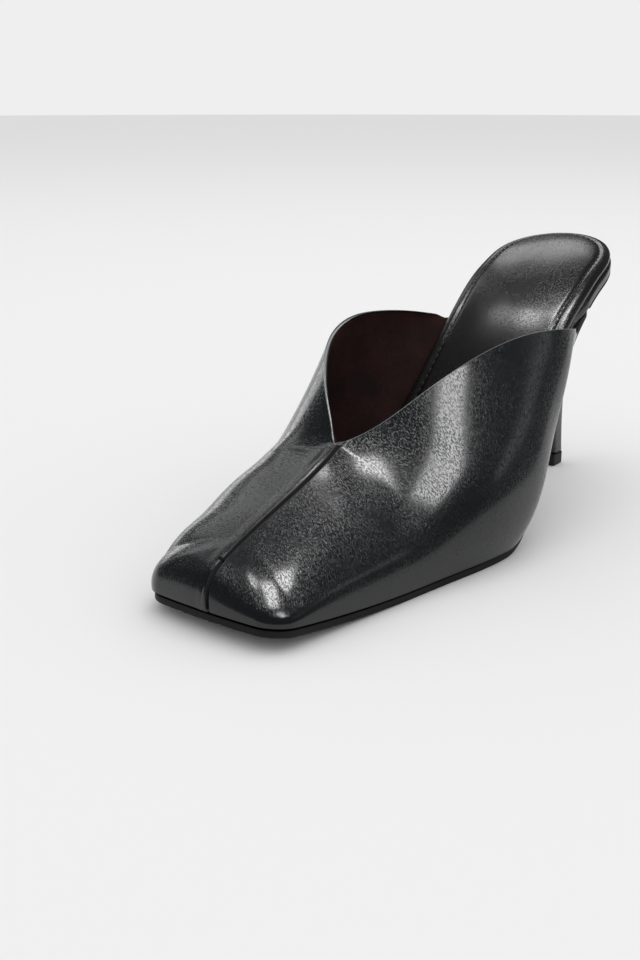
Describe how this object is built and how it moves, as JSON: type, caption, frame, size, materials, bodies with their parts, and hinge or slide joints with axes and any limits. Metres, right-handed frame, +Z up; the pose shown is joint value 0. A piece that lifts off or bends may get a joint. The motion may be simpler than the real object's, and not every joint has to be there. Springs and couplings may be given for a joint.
{
  "type": "mule shoe",
  "caption": "Left high-heeled leather mule with a square toe, centre-seamed vamp, V throat with rounded wings, padded sock and slender covered heel.",
  "frame": {"origin": "middle of the bottom of the bounding box, on the floor", "axes": "+Z up, toe towards -Y, heel towards +Y, outer side of the foot towards +X"},
  "size_m": [0.086, 0.2328, 0.0945],
  "materials": {
    "outsole": "burnished black sole leather, satin",
    "board_cover": "black nappa wrapped round the board, semi-gloss",
    "sock": "black padded nappa, glossy",
    "upper": "black grained nappa, semi-gloss, with a dark brown suede lining",
    "heel": "smooth black leather cover, semi-gloss",
    "top_lift": "black, matte"
  },
  "bodies": {
    "root": {"outsole": "outsole", "insole_board": "board_cover", "sock": "sock", "upper": "upper", "heel": "heel", "top_lift": "top_lift"}
  },
  "joints": []
}
